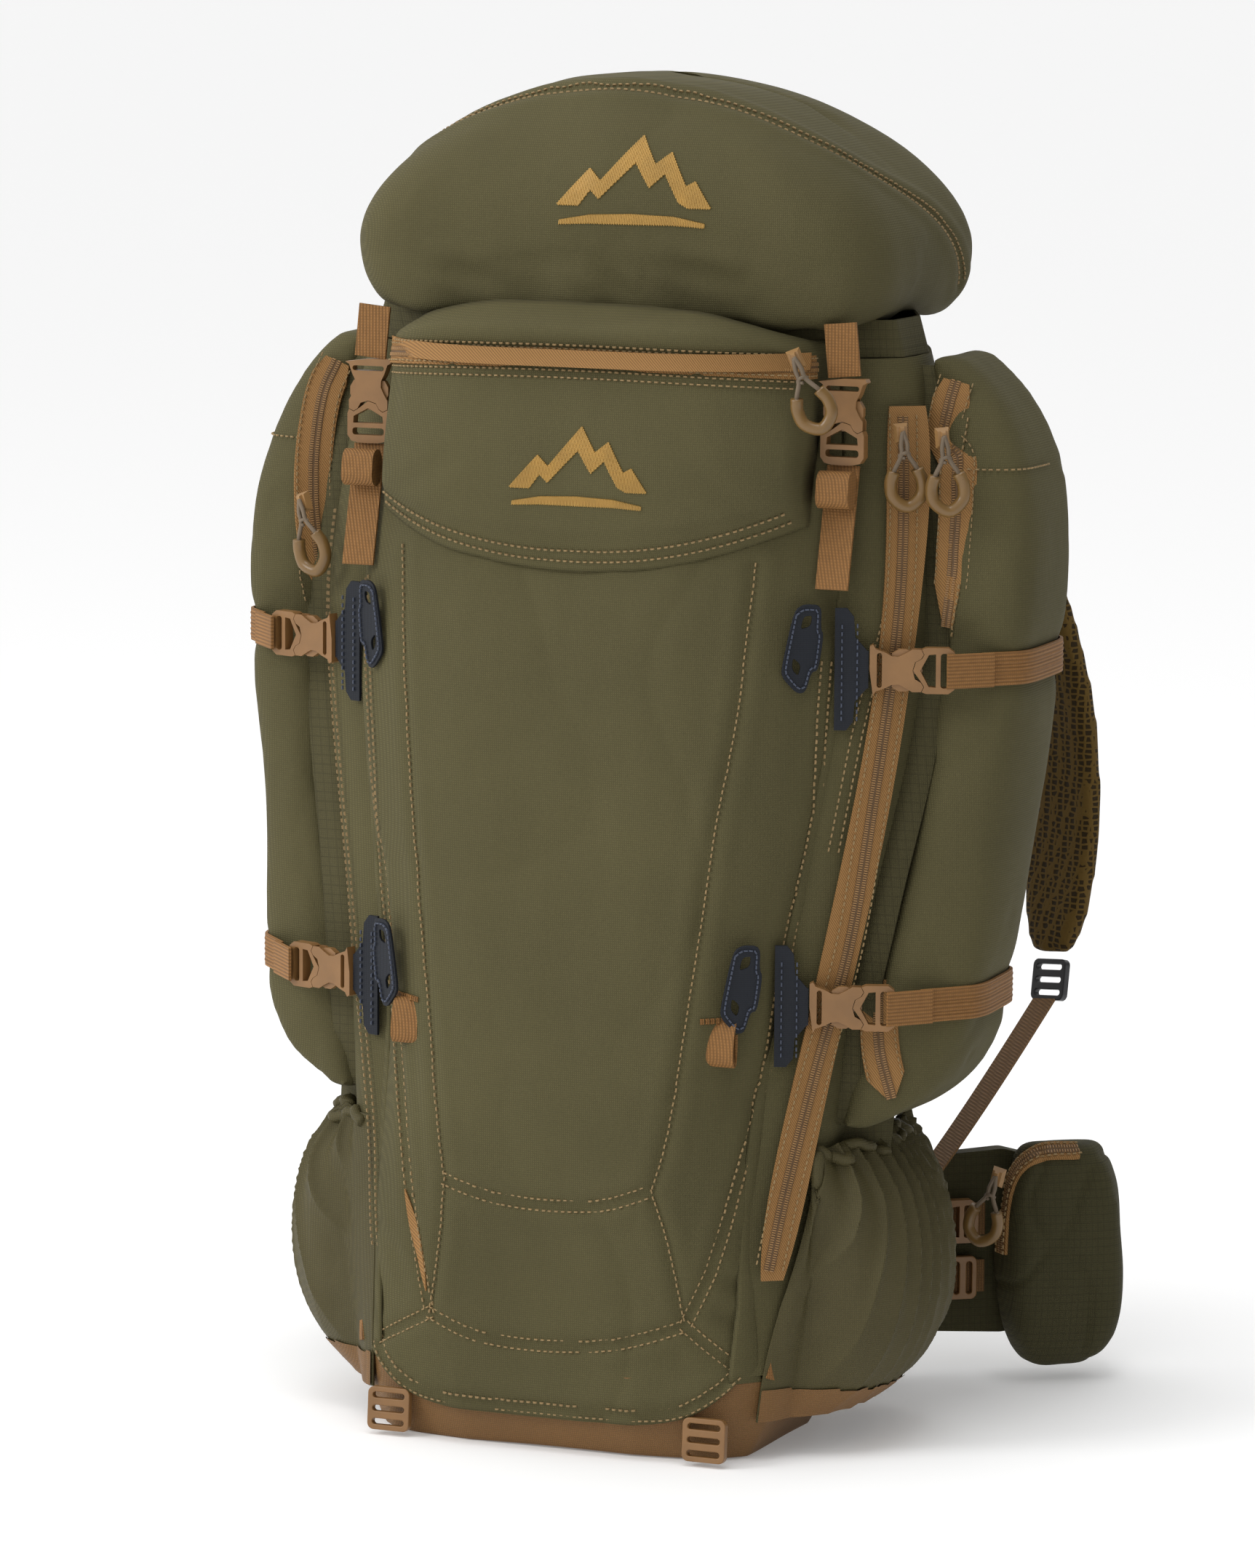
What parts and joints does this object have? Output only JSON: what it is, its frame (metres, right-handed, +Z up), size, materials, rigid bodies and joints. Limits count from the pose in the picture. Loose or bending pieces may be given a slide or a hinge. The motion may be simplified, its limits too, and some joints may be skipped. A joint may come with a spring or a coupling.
{
  "type": "hunting backpack",
  "caption": "Tall framed hunting backpack with a hinged lid, front pocket, stuffed side pods, bottle pockets, compression buckles, shoulder harness and hip belt.",
  "frame": {"origin": "centre of the base on the floor", "axes": "+Z up, -Y towards the pocket face, +Y towards the wearer, +X to the right of the pocket face as seen from in front"},
  "size_m": [0.5118, 0.4246, 0.806],
  "materials": {
    "olive_fabric": "tightly woven matt olive pack cloth",
    "pocket_fabric": "thin ripstop olive cloth, slightly glossy",
    "base_fabric": "coated coyote cloth",
    "zip_tape": "tan herringbone zip tape with coil",
    "webbing": "coyote woven webbing",
    "brown_webbing": "brown woven webbing",
    "buckle_plastic": "coyote moulded acetal",
    "pull_plastic": "coyote moulded grip",
    "black_plastic": "black moulded acetal",
    "hypalon": "near-black laminated sheet",
    "carbon": "woven carbon laminate",
    "stay_metal": "drawn flat bar",
    "mesh_foam": "brown spacer mesh over foam",
    "belt_fabric": "dark olive ripstop over foam"
  },
  "bodies": {
    "bag": {"front_panel": "olive_fabric", "side_panel_left": "olive_fabric", "side_panel_right": "olive_fabric", "back_panel": "olive_fabric", "base_panel": "base_fabric", "top_collar": "pocket_fabric", "front_pocket": "olive_fabric", "side_pod_left": "olive_fabric", "side_pod_right": "olive_fabric", "bottle_pocket_left": "pocket_fabric", "bottle_pocket_right": "pocket_fabric", "frame_sheet": "carbon", "frame_stays": "stay_metal", "lumbar_pad": "mesh_foam", "back_pads": "mesh_foam", "yoke": "belt_fabric", "haul_loop": "brown_webbing", "main_zip": "zip_tape", "pocket_zip": "zip_tape", "pod_zips": "zip_tape", "corner_tabs": "hypalon", "lash_tabs": "hypalon", "webbing_loops": "webbing", "base_hooks": "buckle_plastic", "strap_receivers": "buckle_plastic", "lid_clips": "buckle_plastic", "lid_straps": "webbing", "compression_strap_upper_left": "webbing", "compression_strap_upper_right": "webbing", "compression_strap_lower_left": "webbing", "compression_strap_lower_right": "webbing", "harness_webbing_left": "brown_webbing", "harness_webbing_right": "brown_webbing"},
    "lid": {"lid_shell": "olive_fabric", "lid_webbing": "webbing", "lid_receivers": "buckle_plastic"},
    "clip_upper_left": {"strap_clip_upper_left": "buckle_plastic"},
    "clip_upper_right": {"strap_clip_upper_right": "buckle_plastic"},
    "clip_lower_left": {"strap_clip_lower_left": "buckle_plastic"},
    "clip_lower_right": {"strap_clip_lower_right": "buckle_plastic"},
    "shoulder_left": {"shoulder_strap_left": "mesh_foam", "strap_adjuster_left": "black_plastic", "sternum_strap_left": "brown_webbing"},
    "belt_left": {"belt_wing_left": "belt_fabric", "hip_pocket_left": "belt_fabric", "belt_webbing_left": "brown_webbing", "belt_buckles_left": "buckle_plastic"},
    "pod_slider_left": {"pod_zip_slider_left": "pull_plastic"},
    "hip_slider_left": {"hip_zip_slider_left": "pull_plastic"},
    "shoulder_right": {"shoulder_strap_right": "mesh_foam", "strap_adjuster_right": "black_plastic", "sternum_strap_right": "brown_webbing"},
    "belt_right": {"belt_wing_right": "belt_fabric", "hip_pocket_right": "belt_fabric", "belt_webbing_right": "brown_webbing", "belt_buckles_right": "buckle_plastic"},
    "pod_slider_right": {"pod_zip_slider_right": "pull_plastic"},
    "hip_slider_right": {"hip_zip_slider_right": "pull_plastic"},
    "main_slider": {"main_zip_slider": "pull_plastic"},
    "pocket_slider": {"pocket_zip_slider": "pull_plastic"}
  },
  "joints": [
    {"name": "lid_hinge", "type": "hinge", "parent": "bag", "child": "lid", "pos_m": [0, 0.168, 0.615], "axis": [-1, 0, 0], "range_deg": [0, 90]},
    {"name": "unclip_upper_left", "type": "slide", "parent": "bag", "child": "clip_upper_left", "axis": [-0.9455, 0.3256, 0], "range_m": [0, 0.019], "deforming": ["compression_strap_upper_left"]},
    {"name": "unclip_upper_right", "type": "slide", "parent": "bag", "child": "clip_upper_right", "axis": [0.9455, 0.3256, 0], "range_m": [0, 0.019], "deforming": ["compression_strap_upper_right"]},
    {"name": "unclip_lower_left", "type": "slide", "parent": "bag", "child": "clip_lower_left", "axis": [-0.9455, 0.3256, 0], "range_m": [0, 0.019], "deforming": ["compression_strap_lower_left"]},
    {"name": "unclip_lower_right", "type": "slide", "parent": "bag", "child": "clip_lower_right", "axis": [0.9455, 0.3256, 0], "range_m": [0, 0.019], "deforming": ["compression_strap_lower_right"]},
    {"name": "shoulder_swing_left", "type": "hinge", "parent": "bag", "child": "shoulder_left", "pos_m": [-0.058, 0.18, 0.562], "axis": [1, 0, 0], "range_deg": [-8, 14], "deforming": ["harness_webbing_left"]},
    {"name": "belt_fold_left", "type": "hinge", "parent": "bag", "child": "belt_left", "pos_m": [-0.076, 0.142, 0.08], "axis": [0, 0, -1], "range_deg": [-3, 40]},
    {"name": "shoulder_swing_right", "type": "hinge", "parent": "bag", "child": "shoulder_right", "pos_m": [0.058, 0.18, 0.562], "axis": [1, 0, 0], "range_deg": [-8, 14], "deforming": ["harness_webbing_right"]},
    {"name": "belt_fold_right", "type": "hinge", "parent": "bag", "child": "belt_right", "pos_m": [0.076, 0.142, 0.08], "axis": [0, 0, 1], "range_deg": [-3, 40]},
    {"name": "main_zip_travel", "type": "slide", "parent": "bag", "child": "main_slider", "axis": [0.02, -0.1801, -0.9834], "range_m": [0, 0.05]},
    {"name": "pocket_zip_travel", "type": "slide", "parent": "bag", "child": "pocket_slider", "axis": [-0.9, -0.436, 0], "range_m": [0, 0.05]},
    {"name": "pod_zip_travel_left", "type": "slide", "parent": "bag", "child": "pod_slider_left", "axis": [0.02, 0.1201, 0.9926], "range_m": [0, 0.04]},
    {"name": "pod_zip_travel_right", "type": "slide", "parent": "bag", "child": "pod_slider_right", "axis": [0.02, -0.1201, -0.9926], "range_m": [0, 0.04]},
    {"name": "hip_zip_travel_left", "type": "slide", "parent": "belt_left", "child": "hip_slider_left", "axis": [-0.8192, 0.5736, 0], "range_m": [0, 0.035]},
    {"name": "hip_zip_travel_right", "type": "slide", "parent": "belt_right", "child": "hip_slider_right", "axis": [0.8192, 0.5736, 0], "range_m": [0, 0.035]}
  ]
}
